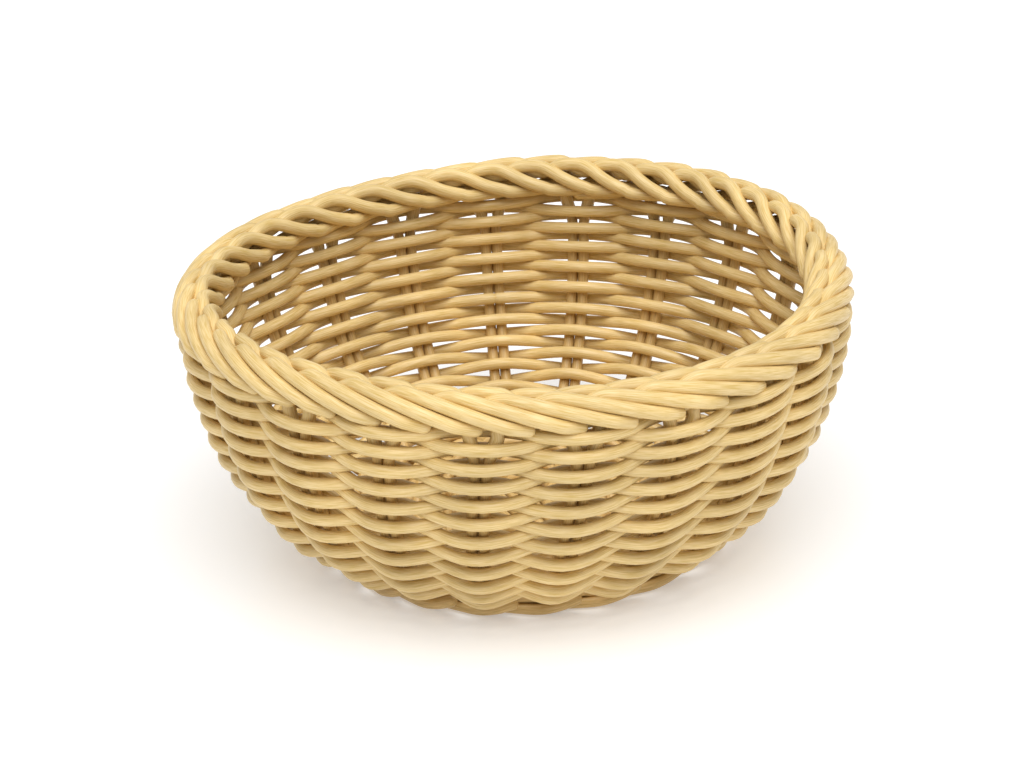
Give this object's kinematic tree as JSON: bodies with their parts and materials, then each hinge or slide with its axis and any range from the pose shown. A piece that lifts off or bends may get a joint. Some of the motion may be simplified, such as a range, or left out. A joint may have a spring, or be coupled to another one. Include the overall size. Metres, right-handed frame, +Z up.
{
  "type": "bread basket",
  "caption": "Round open basket woven from straw-coloured plastic rods, with flared bowl-shaped wall, rolled rope-like border and flat woven base.",
  "frame": {"origin": "centre of the footprint, on the surface that the basket stands on", "axes": "+Z up along the basket's axis, X and Y across the round opening"},
  "size_m": [0.201, 0.2012, 0.0853],
  "materials": {
    "stakes": "semi-matte straw-coloured polypropylene rod with a fine lengthwise grain",
    "weavers": "semi-matte straw-coloured polypropylene rod with a fine lengthwise grain",
    "base": "semi-matte straw-coloured polypropylene rod, a little darker"
  },
  "bodies": {
    "root": {"stake_01": "stakes", "stake_02": "stakes", "stake_03": "stakes", "stake_04": "stakes", "stake_05": "stakes", "stake_06": "stakes", "stake_07": "stakes", "stake_08": "stakes", "stake_09": "stakes", "stake_10": "stakes", "stake_11": "stakes", "stake_12": "stakes", "stake_13": "stakes", "stake_14": "stakes", "stake_15": "stakes", "stake_16": "stakes", "stake_17": "stakes", "stake_18": "stakes", "stake_19": "stakes", "stake_20": "stakes", "stake_21": "stakes", "side_weaver_1": "weavers", "side_weaver_2": "weavers", "side_weaver_3": "weavers", "side_weaver_4": "weavers", "base_weaver": "base", "base_stick_01": "base", "base_stick_02": "base", "base_stick_03": "base", "base_stick_04": "base", "base_stick_05": "base", "base_stick_06": "base", "base_stick_07": "base", "base_stick_08": "base", "base_stick_09": "base", "base_stick_10": "base", "base_stick_11": "base"}
  },
  "joints": []
}
